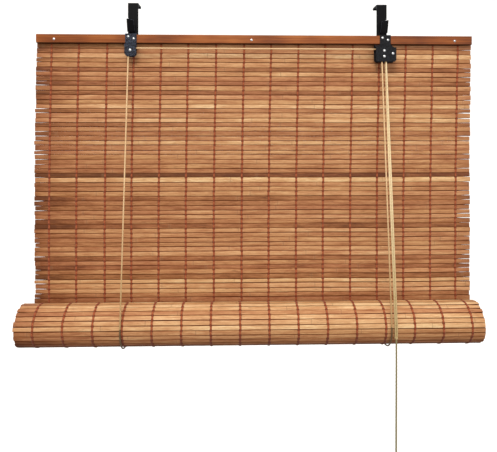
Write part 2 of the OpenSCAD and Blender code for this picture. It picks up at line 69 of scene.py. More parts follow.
# roll: its axis, its outer radius and how much a turn gains
roll_y, roll_z, roll_r, turn_pitch = -57.2, -579.0, 38.2, 2.8
# cords, with the two lanes of the sheaves in depth, and the loops under the roll
cord_r, sheave_path_r, sheave_z = 1.25, 3.9, -91.9
pulley_x, lock_sheave_x = -232.5, 228.7
lane_back_y, lane_front_y = -34.2, -37.6
loop_r, back_cord_top_z = 39.8, -69.4
strand_top_z, strand_foot_z = -92.0, -571.0


def ink(code):
    """A screen colour such as #b07a50, turned to the linear values that a shader takes."""
    parts = [int(code[i:i + 2], 16) / 255 for i in (1, 3, 5)]
    return [c / 12.92 if c <= 0.04045 else ((c + 0.055) / 1.055) ** 2.4 for c in parts] + [1.0]


# %% [markdown]
# ## Camera
# The warp threads lie 50 mm apart on the mat and look wider apart on the roll, which is nearer. Their
# spacing in the photograph gives a distance of about 0.88 m to the mat. Rail and roll close up a little
# to the right, so the camera is turned by 1.4 degrees. The horizon lies high in the picture, because
# the camera stands level and its frame is shifted down.

# %% Camera
camera = bpy.data.objects.new("camera", bpy.data.cameras.new("camera"))
bpy.context.scene.collection.objects.link(camera)
bpy.context.scene.camera = camera
camera.location = (-0.0382, -0.9048, -0.2553)
camera.rotation_euler = (math.radians(90), 0, math.radians(-1.43))
camera.data.lens = 34.58
camera.data.shift_x = -0.0023
camera.data.shift_y = -0.1722
print("camera", tuple(camera.location), "lens", camera.data.lens)

# %% [markdown]
# ## Ways of building
# A piece is a mesh of rings: one closed ring of points at each station along it, joined by quads. A
# slat, a thread and a cord differ only in the ring and in the line that it follows.


# %% Rings, lines and pieces
def add_rings(points, faces, rings, closed_ends=True):
    """Adds one run of rings, each a list of points of the same count."""
    first, sides = len(points), len(rings[0])
    for ring in rings:
        points.extend(ring)
    for i in range(len(rings) - 1):
        a = first + i * sides
        for k in range(sides):
            n = (k + 1) % sides
            faces.append((a + k, a + n, a + sides + n, a + sides + k))
    if closed_ends:
        faces.append(tuple(first + k for k in reversed(range(sides))))
        faces.append(tuple(first + (len(rings) - 1) * sides + k for k in range(sides)))


def piece(name, points, faces, material, sharp=None, body="head", slot=None, layers=None):
    """A mesh piece in millimetres that rides on a body. layers are point attributes by name."""
    mesh = bpy.data.meshes.new(name)
    mesh.from_pydata([[c * mm for c in p] for p in points], [], faces)
    mesh.shade_smooth()
    if sharp is not None:
        mesh.set_sharp_from_angle(angle=math.radians(sharp))
    for layer, values in (layers or {}).items():
        kind = "FLOAT_VECTOR" if len(values[0]) == 3 else "FLOAT"
        mesh.attributes.new(layer, kind, "POINT").data.foreach_set(
            "vector" if kind == "FLOAT_VECTOR" else "value", [c for v in values for c in v])
    mesh.materials.append(material)
    thing = bpy.data.objects.new(name, mesh)
    bpy.context.scene.collection.objects.link(thing)
    if body:
        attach(thing, body)
    return thing


def length_of(line):
    return sum((Vector(b) - Vector(a)).length for a, b in zip(line, line[1:]))


def smooth_line(points, step, passes=2):
    """A line through the points, cut to even steps of about that length, its corners rounded."""
    p = [Vector(q) for q in points]
    total = length_of(p)
    count = max(2, round(total / step))
    line, gone, i = [p[0]], 0.0, 0
    for n in range(1, count):
        want = total * n / count
        while gone + (p[i + 1] - p[i]).length < want:
            gone += (p[i + 1] - p[i]).length
            i += 1
        line.append(p[i].lerp(p[i + 1], (want - gone) / (p[i + 1] - p[i]).length))
    line.append(p[-1])
    for _ in range(passes):
        line = [line[0]] + [(a + 2 * b + c) / 4 for a, b, c in zip(line, line[1:], line[2:])] + [line[-1]]
    return line


print("a line of 100 mm in steps of 5 has", len(smooth_line([(0, 0, 0), (0, 0, 100)], 5)), "points")

# %% [markdown]
# ## Shading
# Each finish is a procedural material. One function adds a node with its settings and links, and
# another sets the shader. The scale of a pattern follows from the size of one repeat in millimetres.


# %% Materials: the common part
def material(name):
    """A new material: a function that adds nodes to it, and one that sets its shader."""
    made = bpy.data.materials.new(name)
    made.use_nodes = True
    tree = made.node_tree
    shader = tree.nodes["Principled BSDF"]

    def join(socket, value):
        if isinstance(value, bpy.types.NodeSocket):
            tree.links.new(value, socket)
        else:
            socket.default_value = value

    def add(kind, links, out=0, stops=(), **settings):
        """Adds a node, with the stops of a colour ramp as (place, colour code)."""
        item = tree.nodes.new("ShaderNode" + kind)
        for key, value in settings.items():
            setattr(item, key, value)
        for socket, value in links.items():
            join(item.inputs[socket], value)
        for _ in stops[2:]:
            item.color_ramp.elements.new(0.5)
        for n, (place, code) in enumerate(stops):
            item.color_ramp.elements[n].position = place
            item.color_ramp.elements[n].color = ink(code)
        return item.outputs[out]

    def finish(**values):
        for key, value in values.items():
            join(shader.inputs[key.replace("_", " ")], value)
        return made

    return add, finish


def per(size):
    """The scale of a pattern of which one repeat measures that many millimetres."""
    return 1 / (size * mm)


print("a pattern of 8 mm has the scale", per(8))

# %% [markdown]
# The slats are split from bamboo cane: a straight fibre, a joint of the cane every 28 cm or so, and a
# tone of their own from pale tan to red-brown. Heat has browned them and they are sold unvarnished, so
# the sheen is low. Each slat carries its tone, and a place of its own in the grain.


# %% Bamboo
def bamboo(name):
    """Split and browned bamboo. slat_at is a point's place on its slat: metres along, -1 to 1 across,
    and a number of the slat's own. tone is how pale the slat is."""
    add, finish = material(name)
    at = add("Attribute", {}, "Vector", attribute_name="slat_at")
    tone = add("Attribute", {}, "Fac", attribute_name="tone")
    along = add("SeparateXYZ", {0: at}, "X")
    across = add("SeparateXYZ", {0: at}, "Y")
    half = slat_pitch / 2
    # patches 80 mm long and 12 mm high, streaks 25 mm by 1.4 mm, fibres 8 mm by 0.4 mm
    patch_at = add("Mapping", {"Vector": at, "Scale": (per(80), half / 12, 5.3)})
    patches = add("TexNoise", {"Vector": patch_at, "Scale": 1, "Detail": 3, "Roughness": 0.55})
    streak_at = add("Mapping", {"Vector": at, "Scale": (per(25), half / 1.4, 9.1), "Location": (3, 0, 0)})
    streaks = add("TexNoise", {"Vector": streak_at, "Scale": 1, "Detail": 4, "Roughness": 0.6})
    fibre_at = add("Mapping", {"Vector": at, "Scale": (per(8), half / 0.4, 3.7), "Location": (0, 5, 0)})
    fibres = add("TexNoise", {"Vector": fibre_at, "Scale": 1, "Detail": 3, "Roughness": 0.65})
    shade = add("Math", {0: patches, 1: 0.7, 2: tone}, operation="MULTIPLY_ADD")
    shade = add("Math", {0: streaks, 1: 0.8, 2: shade}, operation="MULTIPLY_ADD")
    shade = add("Math", {0: fibres, 1: 0.6, 2: shade}, operation="MULTIPLY_ADD")
    # each noise is 0.5 on average, so that much is taken off again
    shade = add("Math", {0: shade, 1: (0.7 + 0.8 + 0.6) / 2}, operation="SUBTRACT", use_clamp=True)
    wood = add("ValToRGB", {0: shade}, stops=[
        (0.0, "#633413"), (0.2, "#8c5329"), (0.42, "#ab7043"), (0.62, "#c28b59"), (0.82, "#d6a672"),
        (1.0, "#ecc894")])
    # joints of the cane every 283 mm: a dark line 2.6 mm wide in a paler rim 9 mm wide
    joint_at = add("Math", {0: along, 1: 283 * mm}, operation="DIVIDE")
    joint_at = add("Math", {0: joint_at}, operation="FRACT")
    off = add("Math", {0: joint_at, 1: 0.5}, operation="SUBTRACT")
    off = add("Math", {0: off}, operation="ABSOLUTE")
    joint = add("MapRange", {"Value": off, "From Min": 1.3 / 283, "From Max": 0})
    rim = add("MapRange", {"Value": off, "From Min": 4.5 / 283, "From Max": 0, "To Max": 0.1})
    wood = add("Mix", {0: rim, 6: wood, 7: ink("#dcb483")}, 2, data_type="RGBA")
    line = add("Math", {0: joint, 1: streaks}, operation="MULTIPLY")
    line = add("Math", {0: line, 1: 0.6}, operation="MULTIPLY")
    wood = add("Mix", {0: line, 6: wood, 7: ink("#5a2c14")}, 2, data_type="RGBA")
    # scars of the cane's skin: dark flecks about 20 mm long and 3 mm high, here and there
    scar_at = add("Mapping", {"Vector": at, "Scale": (per(20), half / 2.8, 7.7), "Location": (2, 4, 6)})
    scars = add("TexNoise", {"Vector": scar_at, "Scale": 1, "Detail": 3, "Roughness": 0.6})
    scars = add("MapRange", {"Value": scars, "From Min": 0.61, "From Max": 0.777, "To Max": 0.6})
    wood = add("Mix", {0: scars, 6: wood, 7: ink("#663a1c")}, 2, data_type="RGBA")
    # painted shade in the line between two slats: the long edges are darker, more in some stretches of 200
    # mm than in others
    rim_at = add("Math", {0: across}, operation="ABSOLUTE")
    edge = add("MapRange", {"Value": rim_at, "From Min": 0.76, "From Max": 0.871})
    gap_shade_at = add("Mapping", {"Vector": at, "Scale": (per(200), half / 7, 3.3), "Location": (0, 9, 4)})
    gap_shade = add("TexNoise", {"Vector": gap_shade_at, "Scale": 1, "Detail": 2, "Roughness": 0.5})
    gap_shade = add("MapRange", {"Value": gap_shade, "From Min": 0.34, "From Max": 0.567})
    gap_shade = add("Math", {0: edge, 1: gap_shade}, operation="MULTIPLY")
    wood = add("Mix", {0: gap_shade, 6: wood, 7: ink("#54240a")}, 2, data_type="RGBA")
    # each slat leans a little to straw or to red, as a whole: the pattern is 700 mm long
    hue_at = add("Mapping", {"Vector": at, "Scale": (per(700), half / 40, 2.1), "Location": (7, 2, 0)})
    hue = add("TexNoise", {"Vector": hue_at, "Scale": 1, "Detail": 2, "Roughness": 0.5})
    hue = add("Math", {0: hue, 1: 0.02, 2: 0.488}, operation="MULTIPLY_ADD")
    wood = add("HueSaturation", {"Hue": hue, "Saturation": 0.98, "Value": 0.99, "Color": wood})
    relief = add("Math", {0: joint, 1: 1.4, 2: fibres}, operation="MULTIPLY_ADD")
    relief = add("Bump", {"Height": relief, "Distance": 0.00025, "Strength": 0.8})
    rough = add("Math", {0: streaks, 1: 0.25, 2: 0.48}, operation="MULTIPLY_ADD")
    rough = add("Math", {0: edge, 1: 0.3, 2: rough}, operation="MULTIPLY_ADD", use_clamp=True)
    shine = add("Math", {0: edge, 1: -0.2, 2: 0.28}, operation="MULTIPLY_ADD")
    return finish(Base_Color=wood, Roughness=rough, Normal=relief, Specular_IOR_Level=shine,
                  Coat_Weight=0.02, Coat_Roughness=0.4)


brown_bamboo = bamboo("browned_bamboo_slats")
print("material", brown_bamboo.name)

# %% [markdown]
# The warp is a red-brown cotton thread of two plies. It passes in front of a slat, dips into the gap
# where it crosses the thread behind, and so grips each slat.


# %% Thread and cord
def twisted(name, dark, mid, pale, shade_tone, plies, pitch, rough):
    """Plied cotton or nylon. Its plies follow the attribute ply: (turns round, metres along, how much
    painted shade it takes, mixed towards the colour given after pale)."""
    add, finish = material(name)
    at = add("Attribute", {}, "Vector", attribute_name="ply")
    around = add("SeparateXYZ", {0: at}, "X")
    length = add("SeparateXYZ", {0: at}, "Y")
    shade_amount = add("SeparateXYZ", {0: at}, "Z")
    turn = add("Math", {0: length, 1: pitch}, operation="DIVIDE")
    turn = add("Math", {0: around, 1: plies, 2: turn}, operation="MULTIPLY_ADD")
    lobe = add("Math", {0: turn, 1: math.pi}, operation="MULTIPLY")
    lobe = add("Math", {0: lobe}, operation="SINE")
    lobe = add("Math", {0: lobe}, operation="ABSOLUTE")
    # fibres 0.4 mm long, six round the cord, and worn stretches 30 mm long
    fuzz_at = add("Mapping", {"Vector": at, "Scale": (6, per(0.4), 1)})
    fuzz = add("TexNoise", {"Vector": fuzz_at, "Scale": 1, "Detail": 3, "Roughness": 0.6})
    worn_at = add("Mapping", {"Vector": at, "Scale": (0.4, per(30), 1)})
    worn = add("TexNoise", {"Vector": worn_at, "Scale": 1, "Detail": 3, "Roughness": 0.5})
    shade = add("Math", {0: lobe, 1: 0.55, 2: -0.25}, operation="MULTIPLY_ADD")
    shade = add("Math", {0: fuzz, 1: 0.3, 2: shade}, operation="MULTIPLY_ADD")
    shade = add("Math", {0: worn, 1: 0.5, 2: shade}, operation="MULTIPLY_ADD", use_clamp=True)
    colour = add("ValToRGB", {0: shade}, stops=[(0.05, dark), (0.45, mid), (0.95, pale)])
    # painted shade: the colour given after pale is mixed in by the third value of ply
    deep = add("Math", {0: shade_amount, 1: 0.92}, operation="MULTIPLY")
    colour = add("Mix", {0: deep, 6: colour, 7: ink(shade_tone)}, 2, data_type="RGBA")
    relief = add("Math", {0: fuzz, 1: 0.35, 2: lobe}, operation="MULTIPLY_ADD")
    relief = add("Bump", {"Height": relief, "Distance": 0.0002, "Strength": 0.7})
    return finish(Base_Color=colour, Roughness=rough, Normal=relief, Sheen_Weight=0.06,
                  Sheen_Roughness=0.5)


cotton_warp = twisted("red_brown_cotton_thread", "#823a19", "#a65029", "#ba6b40", "#66280d", 2, 0.003, 0.9)
nylon_cord = twisted("straw_nylon_cord", "#b4955f", "#f0d5a2", "#fdeeca", "#a98f55", 3, 0.006, 0.6)
lift_cord = twisted("straw_nylon_lift_cord", "#a67a48", "#e2b985", "#f8dcb2", "#a07c44", 3, 0.006, 0.6)
# painted shade: the loops under the roll take this darker brown cord, as the roll shades them
shaded_loop_cord = twisted("straw_nylon_cord_painted_loop_shade", "#5c4526", "#9a7a4a", "#c2a26c", "#4c361a",
                    3, 0.006, 0.7)
# painted shade: the tail hanging below the roll takes this darker cord
shaded_tail_cord = twisted("straw_nylon_cord_painted_tail_shade", "#645a3f", "#948862", "#b2a882", "#83774f",
                       3, 0.006, 0.7)


def tube(name, runs, material_used, body, slot, plies=3, pitch=6.0, sides=12, step=1.1, caps=True):
    """Twisted cords along the given lines, each (points, radius), as one piece with lobed plies. They
    are painted darker from z -330 downwards, as shade."""
    points, faces, ply = [], [], []
    for line, radius in runs:
        line = smooth_line(line, step)
        rings, gone, side = [], 0.0, None
        for i, at in enumerate(line):
            ahead = (line[min(i + 1, len(line) - 1)] - line[max(i - 1, 0)]).normalized()
            if side is None:
                side = ahead.orthogonal().normalized()
            side = (side - ahead * side.dot(ahead)).normalized()
            other = ahead.cross(side)
            if i:
                gone += (at - line[i - 1]).length
            ring = []
            for k in range(sides):
                turn = k / sides
                lobe = abs(math.sin(math.pi * (turn * plies + gone / pitch)))
                r = radius * (0.92 + 0.13 * lobe)
                a = 2 * math.pi * turn
                ring.append(at + r * (math.cos(a) * side + math.sin(a) * other))
                # painted shade: cords are darker from z -330 downwards
                ply.append((turn, gone * mm, min(0.85, max(0.0, (-330 - at.z) / 300))))
            rings.append(ring)
        add_rings(points, faces, rings, caps)
    return piece(name, points, faces, material_used, body=body, slot=slot, layers={"ply": ply})


print("materials of threads and cords", cotton_warp.name, nylon_cord.name, lift_cord.name)

# %% [markdown]
# ## Hanging mat
# The slats lie edge to edge between the outer warp threads. Their ends are free there: they taper,
# tilt a little and stop at uneven lengths, so light shows between them. Each slat is one closed run of
# rings along X. Its front is crowned and its long edges are rounded, which gives the dark line between
# two slats. The shader paints that line darker still, as shade between the slats.


# %% Slats
chance = random.Random(7)
# hand-tied threads aren't evenly spaced: how far each one stands beside its place, in millimetres
thread_stray = [0, -0.6, 1.4, 0, 0, 0, 1.6, 3, 3, 4, 4, 5, 5, 4.8, 5.4, 3]


def warp_x(k):
    return rail_x - warp_pitch * (warp_count - 1) / 2 + k * warp_pitch


def mat_thread_x(k, row):
    """Threads lean to the left on their way down, and bow to the left by two millimetres between."""
    down = row / hanging_slats
    return warp_x(k) + thread_stray[k] - mat_lean * down - 2 * math.sin(math.pi * down)


def slat_ends(i):
    """The mat hangs a little to the left of its rail: its upper 20 slats creep sideways, the rest
    don't. No two slats are cut to the same length."""
    left = rail_x - rail_w / 2 - min(4.4, 0.2 * i) + 0.03 * max(0, i - 30) - chance.uniform(0.8, 2.8)
    right = rail_x + rail_w / 2 + 2.6 - min(2.2, 0.1 * i) + chance.uniform(-1.2, 0.8)
    return left, right


def slat_tone(i):
    """From 0, dark, to 1, pale. Most slats are mid brown, and neighbours from one cane are alike. One
    in eight is much paler or darker."""
    drift = 0.22 * noise.noise((i * 0.31, 3.1, 0)) + 0.04 * math.sin(i * 0.11)
    own = chance.gauss(0, 0.155)
    if chance.random() < 0.13:
        own += chance.choice((-0.27, 0.27))
    return min(0.84, max(0.1, 0.53 + drift + own))


def slat_rings(left, right, first_warp, last_warp, across_to, edges, height, tone, step=24.0):
    """Rings along a slat, with each point's place for the grain and its tone. across_to(x, across, out)
    places a point, out counted from the face, and edges(x) gives how far the slat's lower and upper
    edge stray. Towards the ends the tone is painted darker, as shade where the light falls off, most at
    the left end, and some ends taper where no thread holds them."""
    seed = chance.uniform(0, 99)
    tilt = [chance.uniform(-0.4, 0.4) for _ in range(2)]
    taper = [chance.choice((0.0, 0.0, 0.0, 0.0, 0.0, 0.08, 0.14)) for _ in range(2)]
    tight = [chance.uniform(0, 14) for _ in range(2)]
    deep = chance.uniform(0.3, 1.05)
    # stations lie close together at the free ends and step by step between the threads
    fine = [0, 2.5, 6, 10, 14, 18]
    cuts = [left + f for f in fine] + [first_warp - 1]
    cuts += [first_warp + step * n for n in range(1, int((last_warp - first_warp) / step))]
    cuts += [last_warp + 1] + [right - f for f in reversed(fine)]
    half = height / 2
    # corners of the section, as height and depth: a crowned face with sunk edges, and a flat back
    profile = [(-half, -deep), (0.32 - half, -0.48 * deep), (0.85 - half, -0.14), (1.8 - half, 0.0),
               (0, 0.06), (half - 1.8, 0.0), (half - 0.85, -0.14), (half - 0.32, -0.48 * deep),
               (half, -deep), (half, 0.2 - slat_t), (half - 0.3, -slat_t), (0.3 - half, -slat_t),
               (-half, 0.2 - slat_t)]
    rings, places, tones = [], [], []
    for x in cuts:
        side = 0 if x < 0 else 1
        # painted shade: the tone darkens towards both ends, most at the left, where the light falls off
        painted_end_shade = 0.24 * math.exp((left - x) / 45) + 0.12 * math.exp((left - x) / 190)
        painted_end_shade += 0.13 * math.exp((x - right) / 40)
        free = min(1.0, max(first_warp - x - tight[0], x - last_warp - tight[1], 0.0) / 12)
        slim = 1 - taper[side] * free - (0.03 if x in (left, right) else 0)
        low, high = edges(x)
        ring = []
        for z, out in profile:
            stray = low + (high - low) * (z + half) / height
            ring.append(across_to(x, z * slim + tilt[side] * free + stray, out))
            places.append((x * mm + seed, z / half, seed * 3))
            tones.append((max(0.04, tone - painted_end_shade),))
        rings.append(ring)
    return rings, places, tones


row_shift = [0.0, 0.0] + [chance.uniform(-0.85, 0.85) for _ in range(hanging_slats)]


def border(x, n):
    """How far the line between slat n - 1 and slat n strays: slats are cut 7 to 10 mm high, rows wave
    together by half a millimetre, as the threads were never evenly tight, and no slat is straight."""
    if n <= 0:
        return 0.0
    wave = 0.55 * noise.noise((x * 0.006, n * 0.06, 5.0))
    return row_shift[n] + wave + 0.22 * noise.noise((x * 0.011, n * 7.7, 1.0))


slats = ([], [])
slat_at, tones = [], []
for i in range(-1, hanging_slats):
    left, right = slat_ends(max(i, 0))
    middle_z = rail_low_z - i * slat_pitch - slat_pitch / 2
    outer_threads = mat_thread_x(0, max(i, 0)), mat_thread_x(warp_count - 1, max(i, 0))

    def place(x, across, out, z=middle_z, row=i):
        return (x, mat_front_y - out + 0.1 * noise.noise((x * 0.01, row * 1.7, 0)) * (row > 0), z + across)

    # painted shadow: the slat behind the rail and the first one below it are 0.2 darker, as the rail
    # shades them
    rings, places, tone = slat_rings(
        left, right, *outer_threads, place,
        lambda x, n=i: (border(x, n + 1), border(x, n)), slat_pitch - 0.04,
        slat_tone(i) - (0.2 if i < 1 else 0))
    add_rings(*slats, rings)
    slat_at += places
    tones += tone
hanging = piece("hanging_slats", *slats, brown_bamboo, sharp=50, slot="bamboo",
                layers={"slat_at": slat_at, "tone": tones})
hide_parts("hanging_mat")
print("hanging slats", hanging_slats + 1, "corners", len(slats[0]))

# %% [markdown]
# ## Warp threads of the mat
# One thread runs in front of the slats and one behind. They cross in each gap, where the thread looks
# thicker; there it is painted darker, as shade in the gap. Each is an oval tube that bulges over a slat
# and dips between two.

# %% Threads on the mat
def thread(line_at, stretches, sides=6, wide=3.3, thick=0.9):
    """Rings of one thread. line_at(s) gives its middle, its sideways axis and its outward axis."""
    rings, ply = [], []
    per_slat = 6
    for n in range(stretches * per_slat + 1):
        s = n / per_slat
        grip = 0.5 + 0.5 * math.cos(2 * math.pi * s)
        swell = 1 + 0.6 * grip ** 3 + 0.12 * noise.noise((s * 1.7, line_at.seed, 0))
        middle, side, out = line_at(s)
        middle = middle + side * (0.6 * noise.noise((s * 0.45, line_at.seed, 9))
                                  + 0.22 * math.sin(math.pi * s) * line_at.turn)
        middle = middle + out * (0.42 - 0.62 * grip ** 2)
        ring = []
        for k in range(sides):
            a = 2 * math.pi * k / sides
            ring.append(middle + side * (math.cos(a) * wide * swell / 2)
                        + out * (math.sin(a) * thick / 2))
            # painted shade: the third value darkens the thread where it dips into the gap between two
            # slats
            ply.append((k / sides, s * slat_pitch * mm + line_at.seed, grip ** 1.8))
        rings.append(ring)
    return rings, ply


class MatLine:
    """The line of a warp thread on the mat, from the rail down to the roll."""

    def __init__(self, k, face):
        self.k, self.face, self.seed, self.turn = k, face, k * 3.7 + face, face

    def __call__(self, s):
        y = mat_front_y if self.face < 0 else mat_back_y
        x, row = mat_thread_x(self.k, s), min(int(s), hanging_slats - 1)
        stray = border(x, row) + (border(x, row + 1) - border(x, row)) * (s - row)
        z = rail_low_z - 0.2 - s * slat_pitch + stray
        return Vector((x, y, z)), Vector((1, 0, 0)), Vector((0, self.face, 0))


for face, name in ((-1, "warp_threads_front"), (1, "warp_threads_back")):
    points, faces, ply = [], [], []
    for k in range(warp_count):
        rings, along = thread(MatLine(k, face), hanging_slats)
        add_rings(points, faces, rings)
        ply += along
    made = piece(name, points, faces, cotton_warp, slot="warp_thread", layers={"ply": ply})
    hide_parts("mat_warps")
    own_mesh(made)
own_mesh(hanging)
print("warp threads", warp_count, "in front and behind")

# %% [markdown]
# ## Roll
# The lower part is wound towards the front on a thin rod, so the back of the mat is outside. Only the
# outer turn and the ends show, so the inner slats have few stations. A slat is stiff: it stays flat
# and its neighbours meet at an angle, which opens a dark wedge between them. Slats that face up are
# painted paler, as light from above, and those that face down darker, as shade.


# %% Slats and threads of the roll
def turn_r(s):
    """The roll's radius where its mat is wound s millimetres in from the outer end."""
    return math.sqrt(roll_r ** 2 - turn_pitch * s / math.pi)


def on_turn(s):
    r, a = turn_r(s), 2 * math.pi * (roll_r - turn_r(s)) / turn_pitch
    return Vector((0, roll_y + r * math.cos(a), roll_z - r * math.sin(a)))


roll_x = rail_x - mat_lean - slat_creep
rolled = ([], [])
slat_at, tones = [], []
for j in range(rolled_slats):
    before, after = on_turn((j + 0.04) * slat_pitch), on_turn((j + 0.96) * slat_pitch)
    down = (after - before).normalized()
    outward = down.cross(Vector((1, 0, 0)))
    outward = outward if outward.dot(before - Vector((0, roll_y, roll_z))) > 0 else -outward
    middle = (before + after) / 2
    shown = j < outer_slats + 2
    loose = chance.uniform(-0.25, 0.1) if shown and j > 1 else 0.0

    def place(x, across, out, middle=middle, down=down, outward=outward, row=j, loose=loose):
        rock = 0.12 * noise.noise((x * 0.008, row * 1.3, 2))
        return Vector((x, 0, 0)) + middle - down * across + outward * (out + rock + min(0.0, loose))

    ends = [roll_x - rail_w / 2 - chance.uniform(1, 4), roll_x + rail_w / 2 + chance.uniform(0.4, 3)]
    # painted light and shade: slats facing up are paler, slats facing down are darker
    painted_light_and_shade = 0.4 * max(0.0, outward.z) ** 1.3 - 0.5 * max(0.0, -outward.z - 0.3)
    painted_light_and_shade -= 3 * max(0.0, -outward.z - 0.8)
    rings, places, tone = slat_rings(
        *ends, warp_x(0) - mat_lean, warp_x(warp_count - 1) - mat_lean, place,
        lambda x, n=j: (0.12 * noise.noise((x * 0.011, n * 3.3, 4)),
                        0.12 * noise.noise((x * 0.011, n * 3.3, 8))),
        slat_pitch - 0.4, min(0.95, slat_tone(j + 80) + painted_light_and_shade + 0.04), step=24.0 if shown else 380.0)
    add_rings(*rolled, rings)
    slat_at += places
    tones += tone
roll = piece("rolled_slats", *rolled, brown_bamboo, sharp=50, body="roll", slot="bamboo",
             layers={"slat_at": slat_at, "tone": tones})
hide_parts("rolled_mat")


class RollLine:
    """The line of a warp thread on the roll's outer turn."""

    def __init__(self, k):
        self.k, self.seed, self.turn = k, k * 5.3 + 40, 1

    def __call__(self, s):
        here, ahead = on_turn(s * slat_pitch), on_turn((s + 0.01) * slat_pitch)
        down = (ahead - here).normalized()
        out = (here - Vector((0, roll_y, roll_z))).normalized()
        flat = abs(math.sin(math.pi * s)) * -0.12
        off_face = down.cross(Vector((1, 0, 0)))
        return (here + out * flat + Vector((warp_x(self.k) - mat_lean, 0, 0)), Vector((1, 0, 0)),
                off_face if off_face.dot(out) > 0 else -off_face)


points, faces, ply = [], [], []
for k in range(warp_count):
    rings, along = thread(RollLine(k), outer_slats)
    add_rings(points, faces, rings)
    # painted shade on the threads of the roll's lower side: it starts 4 mm below the roll's middle and is
    # full 16 mm further down
    lower_side_shade = [max(0.0, min(1.0, (roll_z - 4 - at.z) / 16)) for ring in rings for at in ring]
    ply += [(turn, gone, min(1.0, grip + 0.75 * more)) for (turn, gone, grip), more in zip(along, lower_side_shade)]
made = piece("warp_threads_roll", points, faces, cotton_warp, body="roll", slot="warp_thread",
             layers={"ply": ply})
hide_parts("roll_warps")
print("rolled slats", rolled_slats, "corners", len(rolled[0]))

# %% [markdown]
# ## Lift cords
# Each lift cord comes down in front of the mat, passes under the roll and goes up behind to the back
# lath. The left one runs on over its pulley along the rail to the lock, and both leave the lock as
# pull cords. A cord on the mat shortens when the roll is lifted, and the loops ride with the roll's
# cradle.

# %% Lift cords
def touch_angle(y):
    """Where on the roll's loop a cord that comes down at this depth touches it, in radians."""
    dy, dz = y - roll_y, sheave_z - roll_z
    return math.atan2(dz, dy) + math.acos(loop_r / math.hypot(dy, dz))


def arc(x, y, start, end, count=14):
    """Points on a bend over a sheave at (x, y), angles from the +X side, in degrees."""
    angles = [math.radians(start + (end - start) * n / count) for n in range(count + 1)]
    return [(x + sheave_path_r * math.cos(a), y, sheave_z + sheave_path_r * math.sin(a)) for a in angles]


back_cord_y = roll_y + loop_r
for side, x, y in (("left", pulley_x - sheave_path_r, lane_back_y),
                   ("right", lock_sheave_x - sheave_path_r, lane_front_y)):
    start = touch_angle(y)
    foot = (x, roll_y + loop_r * math.cos(start), roll_z + loop_r * math.sin(start))
    down = tube(f"{side}_cord_down", [([(x, y, sheave_z), foot], cord_r)], lift_cord, "head", "cord")
    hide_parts(f"{side}_front_cord")
    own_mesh(down)
    turns = [start + (2 * math.pi - start) * n / 60 for n in range(61)]
    # painted shade: the loop under the roll uses the darker brown cord
    under = tube(f"{side}_cord_under", [(
        [(x, roll_y + loop_r * math.cos(a), roll_z + loop_r * math.sin(a)) for a in turns], cord_r)],
        shaded_loop_cord, "cradle", "cord")
    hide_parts(f"{side}_cord_loop")
    behind = tube(f"{side}_cord_behind", [(
        [(x, back_cord_y, roll_z), (x, back_cord_y, back_cord_top_z)], cord_r)],
        lift_cord, "head", "cord")
    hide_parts(f"{side}_back_cord")
    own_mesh(behind)
across = arc(pulley_x, lane_back_y, 180, 90) + arc(lock_sheave_x, lane_back_y, 90, 0)
made = tube("cord_along_rail", [(across, cord_r), (arc(lock_sheave_x, lane_front_y, 180, 0), cord_r)],
            lift_cord, "head", "cord")
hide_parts("transfer_cord", "lock_cord_bend")
print("lift cords", [round(sheave_z - roll_z), round(math.pi * loop_r), round(back_cord_top_z - roll_z)])

# %% [markdown]
# ## Free pull cords
# Both cords hang from the lock, 2.5 mm thick and limp, and lean forwards because they lie over the
# roll. In front of it they are tied together, and one cord goes on down to a turned knob. The knob is
# below the picture's edge, so its place is a guess.

# %% Pull cords
strand_points = {
    "pull_cord_front": [
        (232.6, -37.6, -92), (232.6, -37.6, -98.5), (232.6, -39.9, -112), (232.8, -47.3, -170),
        (233, -54.6, -228), (233.2, -61.9, -286), (233.3, -69.1, -344), (233.3, -76.4, -402),
        (233.3, -83.7, -460), (233.3, -91, -518), (233.3, -97.6, -571)],
    "pull_cord_back": [
        (232.6, -34.2, -92), (232.6, -34.2, -98.5), (232.5, -36.6, -112), (231.6, -45, -170),
        (231, -53, -228), (230.5, -61.2, -286), (230.4, -69.1, -344), (230.4, -76.4, -402),
        (230.4, -83.7, -460), (230.4, -91, -518), (230.4, -97.6, -571)]}
lead_points = {
    "lead_front": [(233.3, -97.6, -571.4), (233.3, -98.2, -579), (233.2, -98.5, -588.6)],
    "lead_back": [(230.4, -97.6, -571.4), (230.4, -98.2, -579), (230.5, -98.5, -588.6)]}
tail_points = [(231.8, -98.5, -594.8), (231.9, -98.6, -640), (231.7, -98.6, -690),
               (231.5, -98.6, -740), (231.4, -98.6, -790), (231.4, -98.6, -828.4)]
lead_top, lead_foot = (232, -97.6, strand_foot_z), (232, -98.5, -588.6)
knot_at, knob_at, knob_h = Vector((231.8, -98.5, -591.7)), Vector((231.4, -98.6, -796)), 32


def knot(name, centre, radius, cord=1.05):
    """A cord tied to a tight knot: the tube follows a three-lobed knot around the upright cord."""
    reach = (radius - cord) / 3
    line = []
    for n in range(49):
        t = 2 * math.pi * n / 48
        line.append(centre + Vector(((math.sin(t) + 2 * math.sin(2 * t)) * reach,
                                     (math.cos(t) - 2 * math.cos(2 * t)) * reach,
                                     -math.sin(3 * t) * cord * 1.5)))
    core = [centre + Vector((0, 0, radius * 0.95)), centre - Vector((0, 0, radius * 0.95))]
    return tube(name, [(line, cord), (core, cord_r * 1.05)], nylon_cord, "pull_end", "cord", step=0.5,
                pitch=4.0)


